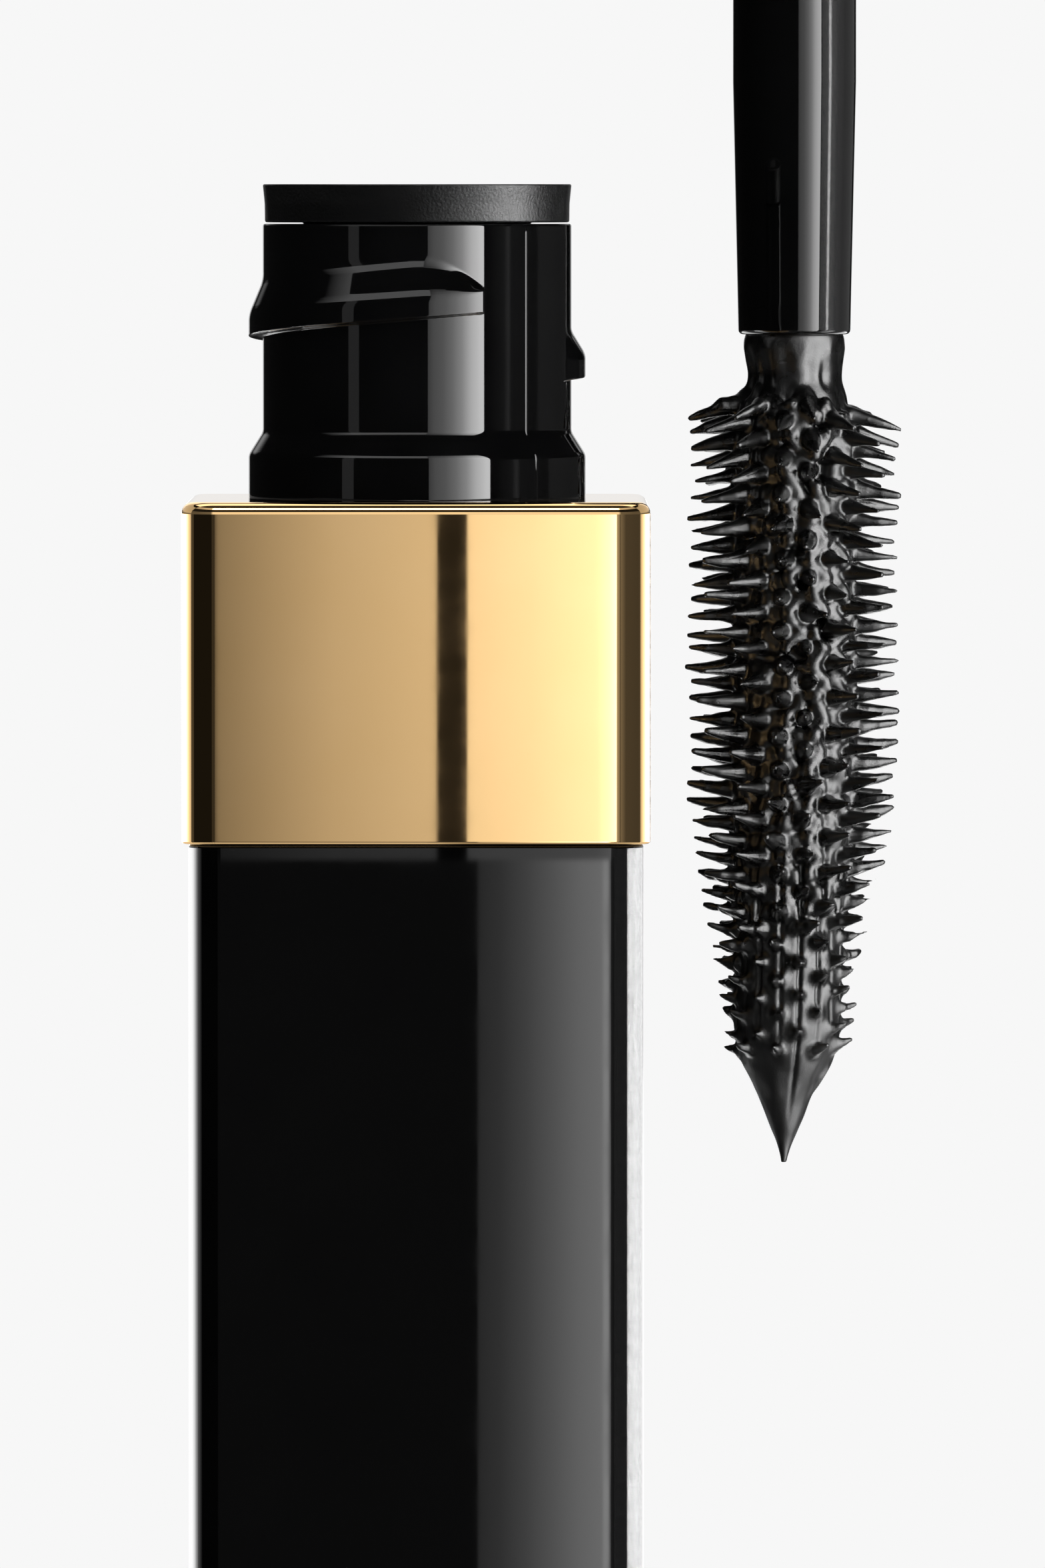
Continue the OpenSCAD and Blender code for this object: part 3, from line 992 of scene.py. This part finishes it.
def curved_card(azimuths, heights, across=24, radius=FAR_CARD):
    """Points and faces of an upright card curved round the tube's axis.

    Each card stands a little outside the one before it, since cards in one place hide each other.
    """
    radius += CARD_GAP * next(card_count)
    points, faces = [], []
    for row, height in enumerate(heights):
        for k in range(across + 1):
            a = math.radians(azimuths[0] + (azimuths[1] - azimuths[0]) * k / across)
            points.append((radius * math.sin(a), -radius * math.cos(a), height))
            if row and k:
                here = row * (across + 1) + k
                faces.append((here - 1, here, here - across - 1, here - across - 2))
    return points, faces


def edges(stops):
    """The first and last place in a table."""
    return stops[0][0], stops[-1][0]


UNFADED = ((0, 1),)


def wrapped(stops, heights=UNFADED, gain=1.0):
    """Brightness by azimuth, faded by height."""
    def paint(graph, x, y, z):
        level = graph.math("MULTIPLY", graph.table(azimuth_of(graph, x, y), stops), gain)
        return graph.math("MULTIPLY", level, graph.table(z, heights))
    return paint


def bands(stops, heights=UNFADED):
    """Broad bands of light, the same on both sides."""
    def paint(graph, x, y, z):
        aside = graph.math("ABSOLUTE", azimuth_of(graph, x, y))
        return graph.math("MULTIPLY", graph.table(aside, stops), graph.table(z, heights))
    return paint


STRIP_WIDTH = 6.5


def strips(stops, heights):
    """Upright strips of light side by side, which give a flat wall a dark part and a graded part."""
    def paint(graph, x, y, z):
        turn = graph.math("FRACT", graph.math("MULTIPLY", azimuth_of(graph, x, y), 1 / STRIP_WIDTH))
        return graph.math("MULTIPLY", graph.table(turn, stops), graph.table(z, heights))
    return paint


def evenly(level):
    """A card of one brightness."""
    def paint(graph, x, y, z):
        return graph.math("ADD", level, 0.0)
    return paint


# Tables of (azimuth in degrees, brightness) and of (height in mm, fade).
SOFTBOX = [
    (8.2, 0.9), (12.3, 1.5), (19.5, 2.0), (26.7, 3.2), (34.0, 5.4), (41.0, 9.6), (48.5, 12.4),
    (51.2, 12.6),
]
SOFTBOX_HEIGHTS = (-300, -60, 220, 540)
SOFTBOX_FADE = [(-300, 0.5), (-60, 1), (220, 1), (520, 0.35)]
ROD_BOX_END = 52.8
ROD_BOX_GAIN = 0.72
ROD_SIDE = [
    (54.0, 0.8), (68.0, 1.3), (70.5, 8.5), (73.5, 8.5), (76.0, 1.5), (90.0, 0.7), (110.0, 0.35),
    (150.0, 0.2),
]
BRUSH_KEY = [(8, 1.2), (25, 4.2), (45, 13), (75, 12), (95, 3)]
BRUSH_KEY_FADE = [(-650, 0.3), (-250, 0.55), (0, 0.95), (300, 0.9), (560, 0.4)]
NECK_TOP = [(-80, 0), (-52, 1.5), (8, 1.6)]
NECK_SIDE = [
    (54.0, 0.0), (68.0, 0.1), (72.0, 0.35), (75.0, 0.08), (100.0, 0.03), (104.0, 0.13), (130.0, 0.05),
    (150.0, 0.02),
]
WIPER_KEY = [(15, 0.4), (35, 1.2), (55, 4), (75, 9.5), (90, 8), (96, 0.5)]
WIPER_KEY_FADE = [(-160, 0.3), (0, 1), (260, 1), (420, 0.3)]

for name, azimuths, heights, across, paint, receiver in (
    ("softbox", edges(SOFTBOX), SOFTBOX_HEIGHTS, 24, wrapped(SOFTBOX, SOFTBOX_FADE), "bottle"),
    ("rod_box", (SOFTBOX[0][0], ROD_BOX_END), SOFTBOX_HEIGHTS, 24,
     wrapped(SOFTBOX, SOFTBOX_FADE, ROD_BOX_GAIN), "wand_rod"),
    ("brush_key", (5, 95), (-650, -250, 300, 560), 24,
     wrapped(BRUSH_KEY, BRUSH_KEY_FADE), "coated_brush"),
    ("brush_left", (-75, -35), (100, 400), 6, evenly(0.9), "coated_brush"),
    ("left_strip", (-52, -43.5), (-250, 260), 4, evenly(0.34), "bottle"),
    ("neck_top", edges(NECK_TOP), (250, 480), 8, wrapped(NECK_TOP), "bottle"),
    ("neck_side", edges(NECK_SIDE), (-60, 110), 24, wrapped(NECK_SIDE), "bottle"),
    ("wiper_key", edges(WIPER_KEY), (-160, 0, 260, 420), 24,
     wrapped(WIPER_KEY, WIPER_KEY_FADE), "wiper_ring"),
    ("rod_side", edges(ROD_SIDE), (-60, 160), 24, wrapped(ROD_SIDE), "wand_rod"),
):
    lit_card(name, *curved_card(azimuths, heights, across), paint, [receiver])

# Tables of (x in mm, brightness) over the flat card in front.
BODY_CARD = [
    (-60.0, 0.05), (1.41, 0.055), (1.49, 0.5), (2.64, 0.68), (4.08, 1.2), (5.52, 1.95), (6.96, 2.86),
    (8.15, 3.4), (8.3, 4.9), (8.5, 4.9), (8.65, 0.25), (40.0, 0.2), (60.0, 0.02),
]
GOLD_CARD = [
    (-60.0, 0.03), (-12.85, 0.03), (-12.6, 0.26), (-6.35, 0.56), (-1.2, 0.71), (-0.85, 0.68),
    (-0.7, 0.01), (0.82, 0.01), (0.94, 1.02), (1.3, 1.08), (4.4, 1.25), (7.9, 1.55), (8.6, 2.1),
    (9.0, 3.2), (9.3, 0.6), (40.0, 0.3), (60.0, 0.2),
]
GOLD_FADE = [(30, 0.86), (45, 0.97), (55, 1.0)]
FRONT_Y = -300.0
FRONT_HALF = 60.0
FRONT_BOTTOM, FRONT_TOP = -30, 56
CARD_SPLIT = 35.5
SPLIT_SOFT = 0.2


def paint_front(graph, x, y, z):
    """Two bands: the lower one shows in the black tube, the upper one in the gold collar."""
    body = graph.table(x, BODY_CARD)
    gold = graph.math("MULTIPLY", graph.table(x, GOLD_CARD), graph.table(z, GOLD_FADE))
    upper = graph.gate(z, CARD_SPLIT - SPLIT_SOFT, CARD_SPLIT + SPLIT_SOFT)
    lower = graph.math("SUBTRACT", 1.0, upper)
    return graph.total(graph.math("MULTIPLY", gold, upper), graph.math("MULTIPLY", body, lower))


front_points = [
    (-FRONT_HALF, FRONT_Y, FRONT_BOTTOM), (FRONT_HALF, FRONT_Y, FRONT_BOTTOM),
    (FRONT_HALF, FRONT_Y, FRONT_TOP), (-FRONT_HALF, FRONT_Y, FRONT_TOP),
]
lit_card("front_card", front_points, [(0, 1, 2, 3)], paint_front, ["tube_shell", "collar_shell"])

RIM_HEIGHTS = (-35, 30)
RIGHT_RIM = [
    (10, 0.26), (56.5, 0.26), (60, 13), (66, 18), (100, 13), (120, 7), (145, 2.5), (165, 1), (178, 0.95),
]
LEFT_RIM = [
    (-178, 0.95), (-165, 1), (-145, 3.2), (-120, 8.5), (-108, 8), (-92, 1.6), (-78, 0.45), (-70, 0),
]
for name, stops in (("right_rim", RIGHT_RIM), ("left_rim", LEFT_RIM)):
    lit_card(name, *curved_card(edges(stops), RIM_HEIGHTS), wrapped(stops), ["tube_shell"])

GOLD_RIM = [(12, 0.18), (30, 0.06), (80, 0.05), (92, 0.1), (104, 0.8), (116, 2.6), (175, 2.6)]
for side, azimuths in (("right", (12, 175)), ("left", (-175, -76))):
    points, faces = curved_card(azimuths, (-40, 62), 16)
    lit_card("gold_rim_" + side, points, faces, bands(GOLD_RIM), ["collar_shell"])

# Strips are (place across a strip, brightness); bands are (azimuth, brightness) on both sides.
BLACK_STRIP = [(0, 0.12), (0.55, 0.16), (0.57, 0.9), (0.96, 4.2), (0.98, 0.15)]
GOLD_STRIP = [(0, 0.45), (0.5, 0.68), (0.52, 0.82), (0.95, 1.1), (0.98, 0.5)]
BELOW = [(-560, 0.5), (-250, 0.9), (-110, 1), (-50, 0)]
BESIDE = [(-110, 0), (-50, 1), (130, 0.8), (155, 0.12), (200, 0.1)]
ABOVE = [(60, 0.1), (100, 0.35), (140, 1), (600, 0.8)]
GOLD_BACK = [(88, 0.5), (180, 0.75)]
BROW = [(60, 1), (235, 1), (250, 0.03), (520, 0.03), (560, 5), (900, 5)]
BROW_BAND = [(7, 1), (13, 0.15), (60, 0.1)]
CAP_BAND = [(0, 0.4), (180, 0.9)]
CAP_FADE = [(200, 1), (800, 1.3)]
ROUND_BAND = [
    (60, 0), (75, 2.5), (96, 5), (98, 0.3), (128, 0.3), (132, 2), (158, 4.5), (160, 0.5), (180, 0.6),
]
ROUND_FADE = [(-700, 0.6), (-90, 1)]
WET_BAND = [(128, 0), (145, 4), (180, 4)]
WET_FADE = [(-700, 0.6), (-200, 1)]
BLACKS = ["tube_shell", "cap_outer", "foot_plug"]
ALL_ROUND = ((-180, 180),)
FRONT = ((-88, 88),)
REAR = ((88, 180), (-180, -88))
SURROUND_ACROSS = 48


def surround(name, heights, paint, receivers, parts=ALL_ROUND, radius=FAR_CARD):
    """Cards round the object that only other views see."""
    for k, part in enumerate(parts):
        points, faces = curved_card(part, heights, SURROUND_ACROSS, radius)
        lit_card(f"{name}_{k}", points, faces, paint, receivers)


below, beside = (-560, -50), (-110, 200)
surround("black_below", below, strips(BLACK_STRIP, BELOW), BLACKS, radius=NEAR_CARD)
surround("black_beside", beside, strips(BLACK_STRIP, BESIDE), BLACKS, REAR, NEAR_CARD)
surround("cap_front", beside, strips(BLACK_STRIP, BESIDE), ["cap_outer"], FRONT, NEAR_CARD)
surround("gold_below", below, strips(GOLD_STRIP, BELOW), ["collar_shell"], radius=NEAR_CARD)
surround("gold_beside", (-110, 57), strips(GOLD_STRIP, BESIDE), ["collar_shell"], REAR, NEAR_CARD)
surround("gold_above", (60, 600), bands(GOLD_BACK, ABOVE), ["collar_shell"], REAR)
surround("gold_brow", (60, 900), bands(BROW_BAND, BROW), ["collar_shell"], FRONT)
surround("cap_above", (200, 800), bands(CAP_BAND, CAP_FADE), ["cap_outer"])
surround("neck_below", (-700, -90), bands(ROUND_BAND, ROUND_FADE), ["bottle", "wand_rod"])
surround("brush_below", (-700, -200), bands(WET_BAND, WET_FADE), ["coated_brush"])

# Tables of (y in mm, brightness), front to back; the two heights differ for the same reason as CARD_GAP.
CEILING = 700.0
CEILING_HALF = 400
CAP_CEILING = [(-400, 1.2), (400, 3.0)]
GOLD_CEILING = [(-400, 0.05), (0, 0.05), (20, 1.7), (250, 1.5), (400, 0.9)]


def paint_ceiling(stops):
    """Graded from front to back."""
    def paint(graph, x, y, z):
        return graph.table(y, stops)
    return paint


for name, stops, height, receivers in (
    ("cap_ceiling", CAP_CEILING, CEILING, ["cap_outer", "wiper_ring"]),
    ("gold_ceiling", GOLD_CEILING, CEILING + CARD_GAP, ["collar_shell"]),
):
    corners = [
        (side * CEILING_HALF, end * CEILING_HALF, height)
        for side, end in ((-1, -1), (1, -1), (1, 1), (-1, 1))
    ]
    lit_card(name, corners, [(3, 2, 1, 0)], paint_ceiling(stops), receivers)


FLOOR_Z = -0.02


def build_floor(radius=235.0, fade=0.35):
    """A pale disc that fades out before its edge."""
    mesh = bpy.data.meshes.new("floor")
    around = 96
    turns = [2 * math.pi * k / around for k in range(around)]
    rings = [
        [(r * math.cos(turn), r * math.sin(turn), FLOOR_Z) for turn in turns]
        for r in (1.0, radius / 3, radius * 2 / 3, radius)
    ]
    floor_points, floor_faces = skin(rings)
    floor_faces = floor_faces[:-around * 2] + floor_faces[-around * 2::2]
    mesh.from_pydata((floor_points * MM).tolist(), [], floor_faces)
    floor = bpy.data.objects.new("floor", mesh)
    bpy.context.scene.collection.objects.link(floor)
    material = bpy.data.materials.new("pale_floor")
    material.use_nodes = True
    graph = Graph(material.node_tree)
    nodes, links = graph.nodes, graph.links
    nodes.clear()
    coords = nodes.new("ShaderNodeTexCoord")
    length = nodes.new("ShaderNodeVectorMath")
    length.operation = "LENGTH"
    links.new(coords.outputs["Object"], length.inputs[0])
    inside = graph.gate(length.outputs["Value"], radius * MM * 0.98, radius * MM * (1 - fade))
    diffuse = nodes.new("ShaderNodeBsdfDiffuse")
    diffuse.inputs["Color"].default_value = (0.82, 0.82, 0.82, 1)
    clear = nodes.new("ShaderNodeBsdfTransparent")
    mix = nodes.new("ShaderNodeMixShader")
    links.new(inside, mix.inputs[0])
    links.new(clear.outputs[0], mix.inputs[1])
    links.new(diffuse.outputs[0], mix.inputs[2])
    out = nodes.new("ShaderNodeOutputMaterial")
    links.new(mix.outputs[0], out.inputs["Surface"])
    mesh.materials.append(material)
    floor.visible_glossy = False


build_floor()


LAMP_PLACE = (0.0, 0.0, 1.0)
LAMP_TARGET = (0.0, 0.0, 0.05)
LAMP_SIZE = (0.6, 0.6)


def area_lamp(name, power, receivers=()):
    """A soft square lamp above the object, unseen by the camera; receivers limits what it lights."""
    data = bpy.data.lights.new(name, "AREA")
    data.shape = "RECTANGLE"
    data.size, data.size_y = LAMP_SIZE
    data.energy = power
    lamp = bpy.data.objects.new(name, data)
    lamp.location = Vector(LAMP_PLACE)
    aim = Vector(LAMP_TARGET) - Vector(LAMP_PLACE)
    lamp.rotation_euler = aim.to_track_quat("-Z", "Y").to_euler()
    lamp.visible_camera = False
    bpy.context.scene.collection.objects.link(lamp)
    if receivers:
        link_light(lamp, receivers)
    return lamp


overhead = area_lamp("overhead", 3.0)
overhead.visible_glossy = False
area_lamp("floor_lamp", 6.5, ["floor"])
